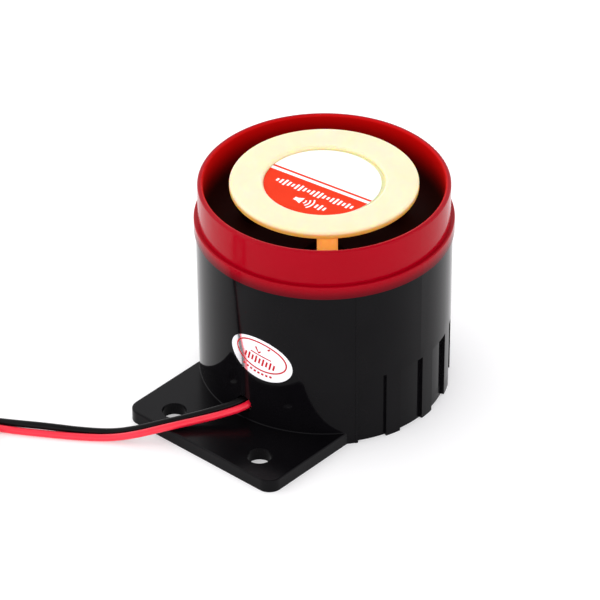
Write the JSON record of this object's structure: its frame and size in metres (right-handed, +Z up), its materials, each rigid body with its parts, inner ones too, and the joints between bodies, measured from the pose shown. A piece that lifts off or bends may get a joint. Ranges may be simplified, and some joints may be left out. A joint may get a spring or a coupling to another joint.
{
  "type": "alarm siren",
  "caption": "Drum-shaped alarm siren with a screw-down foot, red horn bezel, cream diffuser disc and a red and a black lead.",
  "frame": {"origin": "centre of the drum, on the flat face that it stands on", "axes": "+Z up along the drum's axis, out of the horn; the foot points along -Y; +X along the line of the two foot holes"},
  "size_m": [0.0897, 0.1157, 0.051],
  "materials": {
    "black_plastic": "injection-moulded black ABS, glossy",
    "red_plastic": "glossy red ABS",
    "cream_plastic": "satin cream ABS",
    "printed_label": "white label printed in orange-red",
    "foil_label": "silver foil sticker printed in red",
    "screw_steel": "zinc-plated steel",
    "frame_plastic": "black moulded plastic",
    "foam_rubber": "soft black ring",
    "film": "amber moulded film",
    "copper_winding": "enamelled copper",
    "plated_steel": "zinc-plated pressed steel",
    "ferrite": "dark grey ferrite",
    "board_laminate": "green solder mask on laminate",
    "capacitor_sleeve": "dark blue sleeve",
    "inductor_core": "ferrite drum with copper winding",
    "chip_epoxy": "black epoxy",
    "resistor_body": "tan body with colour bands",
    "solder": "tinned copper and solder",
    "terminal_brass": "brass tags",
    "wire_sleeve": "yellow PVC",
    "hot_glue": "translucent glue",
    "red_sleeve": "red PVC insulation",
    "black_sleeve": "black PVC insulation",
    "tie_plastic": "white nylon band"
  },
  "bodies": {
    "casing": {"housing": "black_plastic", "horn": "red_plastic", "diffuser": "cream_plastic", "disc_label": "printed_label", "oval_label": "foil_label", "diffuser_screws": "screw_steel", "driver_screws": "screw_steel", "board_screws": "screw_steel", "driver_frame": "frame_plastic", "gasket": "foam_rubber", "surround": "film", "top_plate": "plated_steel", "magnet": "ferrite", "yoke": "plated_steel", "circuit_board": "board_laminate", "capacitor": "capacitor_sleeve", "boost_inductor": "inductor_core", "drive_transistor": "chip_epoxy", "tone_chip": "chip_epoxy", "resistors": "resistor_body", "solder_joints": "solder", "driver_terminals": "terminal_brass", "driver_wires": "wire_sleeve", "lead_glue": "hot_glue", "lead_red": "red_sleeve", "lead_black": "black_sleeve", "lead_coil": "black_sleeve", "coil_tie": "tie_plastic", "lead_tips": "solder"},
    "cone": {"diaphragm": "film", "voice_coil": "copper_winding"}
  },
  "joints": [
    {"name": "diaphragm_stroke", "type": "slide", "parent": "casing", "child": "cone", "axis": [0, 0, 1], "range_m": [-0.0003, 0.0003], "stiffness_N_per_m": 600, "deforming": ["surround"]}
  ]
}
